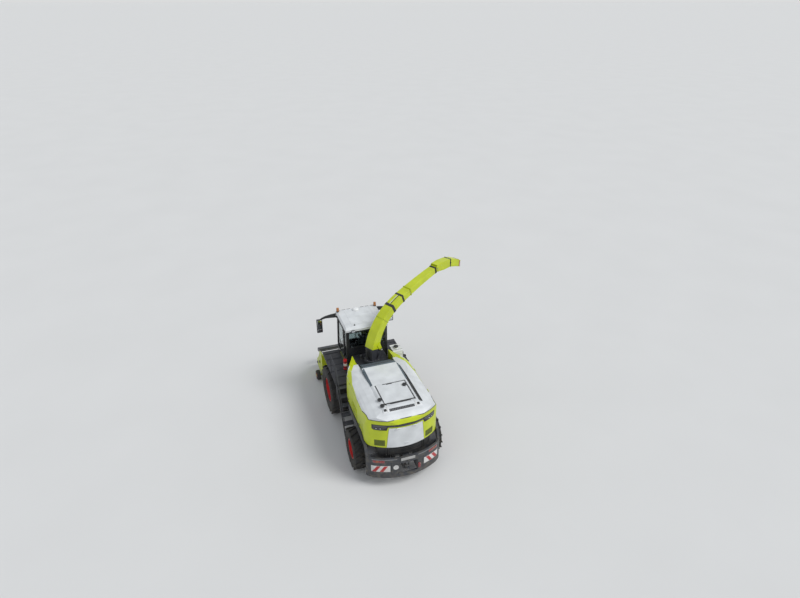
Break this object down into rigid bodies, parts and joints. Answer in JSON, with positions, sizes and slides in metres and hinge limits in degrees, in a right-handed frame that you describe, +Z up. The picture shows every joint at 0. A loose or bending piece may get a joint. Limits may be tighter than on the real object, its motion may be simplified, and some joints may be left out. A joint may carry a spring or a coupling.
{
  "type": "self-propelled forage harvester",
  "caption": "Self-propelled forage harvester with cab, long slewing discharge spout, pick-up header, large driven front wheels and steered rear wheels.",
  "frame": {"origin": "on the ground under the middle of the overall box", "axes": "+X points forward, +Y to the machine's left, +Z up"},
  "size_m": [8.6548, 6.7154, 5.738],
  "materials": {
    "frame_grey": "satin",
    "axle_dark": "satin",
    "engine_grey": "matte",
    "lime": "gloss",
    "white": "gloss",
    "screen_grey": "satin",
    "slate": "satin",
    "black_plastic": "matte",
    "lamp_plastic": "gloss",
    "cab_black": "satin",
    "window_glass": "clear",
    "red": "gloss",
    "tank_plastic": "matte",
    "rod_chrome": "polished",
    "tyre_rubber": "matte",
    "steel": "worn"
  },
  "bodies": {
    "chassis": {"chassis_frame": "frame_grey", "body_frame": "frame_grey", "hitch": "frame_grey", "axles": "axle_dark", "engine_block": "engine_grey", "lime_panels": "lime", "top_cover": "white", "intake_grille": "screen_grey", "service_deck": "slate", "rear_skirts": "slate", "tail_grille": "black_plastic", "lamps": "lamp_plastic", "cab_frame": "cab_black", "cab_roof": "white", "cab_glass": "window_glass", "cab_interior": "black_plastic", "mirrors": "black_plastic", "access_ladder": "frame_grey", "extinguisher": "red", "additive_tank": "tank_plastic", "crop_duct": "frame_grey"},
    "wheel_front_left": {"tyre_front_left": "tyre_rubber", "rim_front_left": "red"},
    "wheel_front_right": {"tyre_front_right": "tyre_rubber", "rim_front_right": "red"},
    "steer_knuckle_left": {"knuckle_left": "axle_dark"},
    "steer_knuckle_right": {"knuckle_right": "axle_dark"},
    "wheel_rear_left": {"tyre_rear_left": "tyre_rubber", "rim_rear_left": "red"},
    "wheel_rear_right": {"tyre_rear_right": "tyre_rubber", "rim_rear_right": "red"},
    "turret": {"spout_turret": "lime"},
    "boom": {"spout_boom": "lime"},
    "flap": {"spout_flap": "lime"},
    "boom_barrel": {"spout_barrel": "axle_dark"},
    "boom_rod": {"spout_rod": "rod_chrome"},
    "door": {"cab_door": "cab_black", "door_glass": "window_glass"},
    "flap_left": {"side_flap_left": "lime"},
    "flap_right": {"side_flap_right": "lime"},
    "tail": {"tail_panel": "white"},
    "hatch": {"top_hatch": "white"},
    "feeder": {"feeder_housing": "frame_grey", "header_frame": "lime"},
    "auger": {"header_auger": "steel"},
    "reel": {"pickup_reel": "steel"},
    "press": {"press_roller": "frame_grey"},
    "header_barrels": {"lift_barrels": "axle_dark"},
    "header_rods": {"lift_rods": "rod_chrome"},
    "gauge_left": {"gauge_wheel_left": "tyre_rubber"},
    "gauge_right": {"gauge_wheel_right": "tyre_rubber"}
  },
  "joints": [
    {"name": "front_wheel_left_spin", "type": "hinge", "parent": "chassis", "child": "wheel_front_left", "pos_m": [0.8125, 2.94775, 1.04], "axis": [0, 1, 0], "continuous": true},
    {"name": "front_wheel_right_spin", "type": "hinge", "parent": "chassis", "child": "wheel_front_right", "pos_m": [0.8125, 0.17175, 1.04], "axis": [0, 1, 0], "continuous": true},
    {"name": "steer_left", "type": "hinge", "parent": "chassis", "child": "steer_knuckle_left", "pos_m": [-2.6875, 2.55975, 0.79], "axis": [0, 0, 1], "range_deg": [-35, 35]},
    {"name": "steer_right", "type": "hinge", "parent": "chassis", "child": "steer_knuckle_right", "pos_m": [-2.6875, 0.55975, 0.79], "axis": [0, 0, 1], "range_deg": [-35, 35]},
    {"name": "rear_wheel_left_spin", "type": "hinge", "parent": "steer_knuckle_left", "child": "wheel_rear_left", "pos_m": [-2.6875, 2.98975, 0.79], "axis": [0, 1, 0], "continuous": true},
    {"name": "rear_wheel_right_spin", "type": "hinge", "parent": "steer_knuckle_right", "child": "wheel_rear_right", "pos_m": [-2.6875, 0.12975, 0.79], "axis": [0, 1, 0], "continuous": true},
    {"name": "spout_turn", "type": "hinge", "parent": "chassis", "child": "turret", "pos_m": [-0.0375, 1.55975, 2.76], "axis": [0, 0, 1], "range_deg": [-43, 167]},
    {"name": "spout_lift", "type": "hinge", "parent": "turret", "child": "boom", "pos_m": [0.10334, 1.29487, 3.18], "axis": [-0.8829, -0.4695, 0], "range_deg": [-10, 10]},
    {"name": "spout_flap_tilt", "type": "hinge", "parent": "boom", "child": "flap", "pos_m": [1.76527, -1.83077, 5.54], "axis": [0.8829, 0.4695, 0], "range_deg": [-12, 60]},
    {"name": "spout_barrel_pivot", "type": "hinge", "parent": "turret", "child": "boom_barrel", "pos_m": [0.07987, 1.33901, 2.9], "axis": [-0.8829, -0.4695, 0], "range_deg": [-15, 15]},
    {"name": "spout_rod_slide", "type": "slide", "parent": "boom_barrel", "child": "boom_rod", "axis": [0.1257, -0.2363, 0.9635], "range_m": [-0.12, 0.12]},
    {"name": "cab_door_hinge", "type": "hinge", "parent": "chassis", "child": "door", "pos_m": [1.1365, 2.44575, 2.45], "axis": [0, 0, 1], "range_deg": [0, 75]},
    {"name": "side_flap_left_hinge", "type": "hinge", "parent": "chassis", "child": "flap_left", "pos_m": [-2.0875, 2.89175, 2.816], "axis": [1, 0, 0], "range_deg": [0, 55]},
    {"name": "side_flap_right_hinge", "type": "hinge", "parent": "chassis", "child": "flap_right", "pos_m": [-2.0875, 0.22775, 2.816], "axis": [-1, 0, 0], "range_deg": [0, 55]},
    {"name": "tail_panel_hinge", "type": "hinge", "parent": "chassis", "child": "tail", "pos_m": [-4.1895, 1.55975, 2.596], "axis": [0, 1, 0], "range_deg": [0, 70]},
    {"name": "top_hatch_hinge", "type": "hinge", "parent": "chassis", "child": "hatch", "pos_m": [-3.5175, 1.55975, 3.168], "axis": [0, -1, 0], "range_deg": [0, 80]},
    {"name": "header_lift", "type": "hinge", "parent": "chassis", "child": "feeder", "pos_m": [1.4525, 1.55975, 1.18], "axis": [0, -1, 0], "range_deg": [-3, 22]},
    {"name": "header_barrels_pivot", "type": "hinge", "parent": "chassis", "child": "header_barrels", "pos_m": [1.2425, 1.55975, 0.56], "axis": [0, -1, 0], "range_deg": [-5, 20]},
    {"name": "header_rods_slide", "type": "slide", "parent": "header_barrels", "child": "header_rods", "axis": [0.9915, 0, 0.1297], "range_m": [-0.04, 0.23]},
    {"name": "auger_spin", "type": "hinge", "parent": "feeder", "child": "auger", "pos_m": [3.4125, 1.55975, 0.76], "axis": [0, 1, 0], "continuous": true},
    {"name": "pickup_spin", "type": "hinge", "parent": "feeder", "child": "reel", "pos_m": [3.9625, 1.55975, 0.385], "axis": [0, 1, 0], "continuous": true},
    {"name": "press_roller_lift", "type": "hinge", "parent": "feeder", "child": "press", "pos_m": [3.3125, 1.55975, 1.29], "axis": [0, -1, 0], "range_deg": [0, 25]},
    {"name": "gauge_wheel_left_spin", "type": "hinge", "parent": "feeder", "child": "gauge_left", "pos_m": [3.1425, 3.25975, 0.23], "axis": [0, 1, 0], "continuous": true},
    {"name": "gauge_wheel_right_spin", "type": "hinge", "parent": "feeder", "child": "gauge_right", "pos_m": [3.1425, -0.14025, 0.23], "axis": [0, 1, 0], "continuous": true}
  ],
  "couplings": [
    {"joint": "steer_right", "follows": "steer_left", "ratio": 1},
    {"joint": "header_barrels_pivot", "follows": "header_lift", "ratio": 0.69926},
    {"joint": "header_rods_slide", "follows": "header_lift", "m_per_rad": 0.55005},
    {"joint": "spout_barrel_pivot", "follows": "spout_lift", "ratio": 0.69727},
    {"joint": "spout_rod_slide", "follows": "spout_lift", "m_per_rad": 0.026715}
  ]
}
